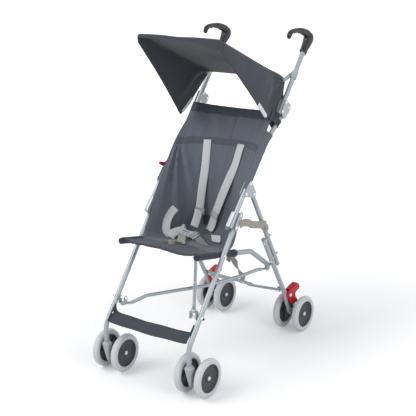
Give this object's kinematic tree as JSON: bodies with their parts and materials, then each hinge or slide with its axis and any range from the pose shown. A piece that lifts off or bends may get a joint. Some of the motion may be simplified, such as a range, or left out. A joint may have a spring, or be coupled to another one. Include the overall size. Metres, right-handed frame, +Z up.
{
  "type": "lightweight stroller",
  "caption": "Umbrella-fold stroller with a slung dark grey seat, canopy, five-point style harness, twin wheels and red foot brakes.",
  "frame": {"origin": "on the floor, midway between the two sides and midway along the stroller", "axes": "+Z up, the seated child faces -Y, the child's left is +X, the handles point to +Y"},
  "size_m": [0.429, 0.7474, 1.063],
  "materials": {
    "brake_red": "moulded red",
    "bright_steel": "plain steel",
    "buckle_grey": "pale grey satin",
    "canopy_cloth": "charcoal woven cloth",
    "caster_grey": "mid grey satin",
    "grip_black": "soft satin black",
    "hub_charcoal": "moulded charcoal",
    "painted_steel": "light grey-blue gloss paint",
    "seat_cloth": "charcoal woven cloth",
    "tyre_grey": "matt light grey",
    "webbing": "pale grey webbing"
  },
  "bodies": {
    "left_side": {"canopy_clip_left": "buckle_grey", "crotch_strap": "webbing", "footrest": "seat_cloth", "front_leg_left": "painted_steel", "handle_left": "grip_black", "harness_buckle": "buckle_grey", "knuckle_left": "painted_steel", "main_tube_left": "painted_steel", "push_tube_left": "painted_steel", "seat": "seat_cloth", "shoulder_strap_left": "webbing", "shoulder_strap_right": "webbing", "side_strap_left": "webbing", "tube_clamp_left": "painted_steel", "waist_strap": "webbing"},
    "right_side": {"canopy_clip_right": "buckle_grey", "front_leg_right": "painted_steel", "handle_right": "grip_black", "knuckle_right": "painted_steel", "main_tube_right": "painted_steel", "push_tube_right": "painted_steel", "side_strap_right": "webbing", "tube_clamp_right": "painted_steel"},
    "caster_left": {"caster_left": "caster_grey"},
    "rear_leg_left": {"rear_axle_left": "bright_steel", "rear_leg_left": "painted_steel"},
    "seat_rail_left": {"seat_rail_left": "painted_steel"},
    "rear_brace_left": {"rear_brace_left": "painted_steel"},
    "brake_lever_left": {"brake_lever_left": "brake_red"},
    "front_wheel_left_outer": {"front_hub_left_outer": "hub_charcoal", "front_tyre_left_outer": "tyre_grey"},
    "front_wheel_left_inner": {"front_hub_left_inner": "hub_charcoal", "front_tyre_left_inner": "tyre_grey"},
    "rear_wheel_left_outer": {"rear_hub_left_outer": "hub_charcoal", "rear_tyre_left_outer": "tyre_grey"},
    "rear_wheel_left_inner": {"rear_hub_left_inner": "hub_charcoal", "rear_tyre_left_inner": "tyre_grey"},
    "caster_right": {"caster_right": "caster_grey"},
    "rear_leg_right": {"rear_axle_right": "bright_steel", "rear_leg_right": "painted_steel"},
    "seat_rail_right": {"seat_rail_right": "painted_steel"},
    "rear_brace_right": {"pull_strap": "webbing", "rear_brace_right": "painted_steel"},
    "brake_lever_right": {"brake_lever_right": "brake_red"},
    "front_wheel_right_outer": {"front_hub_right_outer": "hub_charcoal", "front_tyre_right_outer": "tyre_grey"},
    "front_wheel_right_inner": {"front_hub_right_inner": "hub_charcoal", "front_tyre_right_inner": "tyre_grey"},
    "rear_wheel_right_outer": {"rear_hub_right_outer": "hub_charcoal", "rear_tyre_right_outer": "tyre_grey"},
    "rear_wheel_right_inner": {"rear_hub_right_inner": "hub_charcoal", "rear_tyre_right_inner": "tyre_grey"},
    "front_clevis_right": {"front_clevis_right": "painted_steel"},
    "x_bar_a": {"x_bar_a": "painted_steel"},
    "front_clevis_left": {"front_clevis_left": "painted_steel"},
    "x_bar_b": {"x_bar_b": "painted_steel"},
    "storage_latch": {"storage_latch": "brake_red"},
    "canopy": {"canopy": "canopy_cloth"}
  },
  "joints": [
    {"name": "fold", "type": "slide", "parent": "left_side", "child": "right_side", "axis": [1, 0, 0], "range_m": [0, 0.15], "deforming": ["seat", "canopy", "footrest", "shoulder_strap_left", "shoulder_strap_right", "waist_strap", "crotch_strap", "harness_buckle", "pull_strap", "side_strap_left", "side_strap_right"]},
    {"name": "rear_leg_fold_left", "type": "hinge", "parent": "left_side", "child": "rear_leg_left", "pos_m": [0.165, 0.002, 0.557], "axis": [1, 0, 0], "range_deg": [-45.1, 0], "deforming": ["side_strap_left", "pull_strap"]},
    {"name": "seat_rail_tilt_left", "type": "hinge", "parent": "left_side", "child": "seat_rail_left", "pos_m": [0.1475, -0.1621, 0.40064], "axis": [1, 0, 0], "range_deg": [0, 34.9], "deforming": ["seat"]},
    {"name": "clevis_pitch_left", "type": "hinge", "parent": "left_side", "child": "front_clevis_left", "pos_m": [0.142, -0.29254, 0.2415], "axis": [1, 0, 0], "range_deg": [0, 22.5]},
    {"name": "rear_leg_fold_right", "type": "hinge", "parent": "right_side", "child": "rear_leg_right", "pos_m": [-0.165, 0.002, 0.557], "axis": [1, 0, 0], "range_deg": [-45.1, 0], "deforming": ["side_strap_right", "pull_strap"]},
    {"name": "seat_rail_tilt_right", "type": "hinge", "parent": "right_side", "child": "seat_rail_right", "pos_m": [-0.1475, -0.1621, 0.40064], "axis": [1, 0, 0], "range_deg": [0, 34.9], "deforming": ["seat"]},
    {"name": "clevis_pitch_right", "type": "hinge", "parent": "right_side", "child": "front_clevis_right", "pos_m": [-0.142, -0.29254, 0.2415], "axis": [1, 0, 0], "range_deg": [0, 22.5]},
    {"name": "x_bar_a_swing", "type": "hinge", "parent": "front_clevis_right", "child": "x_bar_a", "pos_m": [-0.142, -0.29254, 0.2207], "axis": [0, 0, 1], "range_deg": [0, 19.5]},
    {"name": "x_bar_b_swing", "type": "hinge", "parent": "front_clevis_left", "child": "x_bar_b", "pos_m": [0.142, -0.29254, 0.2623], "axis": [0, 0, 1], "range_deg": [-19.5, 0]},
    {"name": "rear_brace_fold_left", "type": "hinge", "parent": "rear_leg_left", "child": "rear_brace_left", "pos_m": [0.145, 0.18484, 0.161], "axis": [0, 0.8825, 0.4703], "range_deg": [0, 61.3], "deforming": ["pull_strap"]},
    {"name": "rear_brace_fold_right", "type": "hinge", "parent": "rear_leg_right", "child": "rear_brace_right", "pos_m": [-0.145, 0.18484, 0.161], "axis": [0, 0.8825, 0.4703], "range_deg": [-61.3, 0], "deforming": ["pull_strap"]},
    {"name": "caster_swivel_left", "type": "hinge", "parent": "left_side", "child": "caster_left", "pos_m": [0.165, -0.3555, 0.112], "axis": [0, 0, 1], "continuous": true},
    {"name": "caster_swivel_right", "type": "hinge", "parent": "right_side", "child": "caster_right", "pos_m": [-0.165, -0.3555, 0.112], "axis": [0, 0, 1], "continuous": true},
    {"name": "front_wheel_left_outer_spin", "type": "hinge", "parent": "caster_left", "child": "front_wheel_left_outer", "pos_m": [0.203, -0.316, 0.06228], "axis": [1, 0, 0], "continuous": true},
    {"name": "front_wheel_left_inner_spin", "type": "hinge", "parent": "caster_left", "child": "front_wheel_left_inner", "pos_m": [0.127, -0.316, 0.06228], "axis": [1, 0, 0], "continuous": true},
    {"name": "front_wheel_right_outer_spin", "type": "hinge", "parent": "caster_right", "child": "front_wheel_right_outer", "pos_m": [-0.203, -0.316, 0.06228], "axis": [1, 0, 0], "continuous": true},
    {"name": "front_wheel_right_inner_spin", "type": "hinge", "parent": "caster_right", "child": "front_wheel_right_inner", "pos_m": [-0.127, -0.316, 0.06228], "axis": [1, 0, 0], "continuous": true},
    {"name": "rear_wheel_left_outer_spin", "type": "hinge", "parent": "rear_leg_left", "child": "rear_wheel_left_outer", "pos_m": [0.203, 0.248, 0.06228], "axis": [1, 0, 0], "continuous": true},
    {"name": "rear_wheel_left_inner_spin", "type": "hinge", "parent": "rear_leg_left", "child": "rear_wheel_left_inner", "pos_m": [0.127, 0.248, 0.06228], "axis": [1, 0, 0], "continuous": true},
    {"name": "rear_wheel_right_outer_spin", "type": "hinge", "parent": "rear_leg_right", "child": "rear_wheel_right_outer", "pos_m": [-0.203, 0.248, 0.06228], "axis": [1, 0, 0], "continuous": true},
    {"name": "rear_wheel_right_inner_spin", "type": "hinge", "parent": "rear_leg_right", "child": "rear_wheel_right_inner", "pos_m": [-0.127, 0.248, 0.06228], "axis": [1, 0, 0], "continuous": true},
    {"name": "brake_press_left", "type": "hinge", "parent": "rear_leg_left", "child": "brake_lever_left", "pos_m": [0.165, 0.207, 0.141], "axis": [1, 0, 0], "range_deg": [-24, 0]},
    {"name": "brake_press_right", "type": "hinge", "parent": "rear_leg_right", "child": "brake_lever_right", "pos_m": [-0.165, 0.207, 0.141], "axis": [1, 0, 0], "range_deg": [-24, 0]},
    {"name": "canopy_tilt", "type": "hinge", "parent": "left_side", "child": "canopy", "pos_m": [0, 0.217, 0.883], "axis": [1, 0, 0], "range_deg": [-70, 0]},
    {"name": "latch_turn", "type": "hinge", "parent": "right_side", "child": "storage_latch", "pos_m": [-0.1789, -0.00422, 0.60895], "axis": [1, 0, 0], "range_deg": [-35, 0]}
  ],
  "couplings": [
    {"joint": "rear_leg_fold_left", "follows": "fold", "rad_per_m": -5.236},
    {"joint": "seat_rail_tilt_left", "follows": "fold", "rad_per_m": 4.0383},
    {"joint": "clevis_pitch_left", "follows": "fold", "rad_per_m": 2.5977},
    {"joint": "rear_leg_fold_right", "follows": "fold", "rad_per_m": -5.236},
    {"joint": "seat_rail_tilt_right", "follows": "fold", "rad_per_m": 4.0383},
    {"joint": "clevis_pitch_right", "follows": "fold", "rad_per_m": 2.5977},
    {"joint": "x_bar_a_swing", "follows": "fold", "rad_per_m": 2.2553},
    {"joint": "x_bar_b_swing", "follows": "fold", "rad_per_m": -2.2553},
    {"joint": "rear_brace_fold_left", "follows": "fold", "rad_per_m": 7.1133},
    {"joint": "rear_brace_fold_right", "follows": "fold", "rad_per_m": -7.1133}
  ]
}
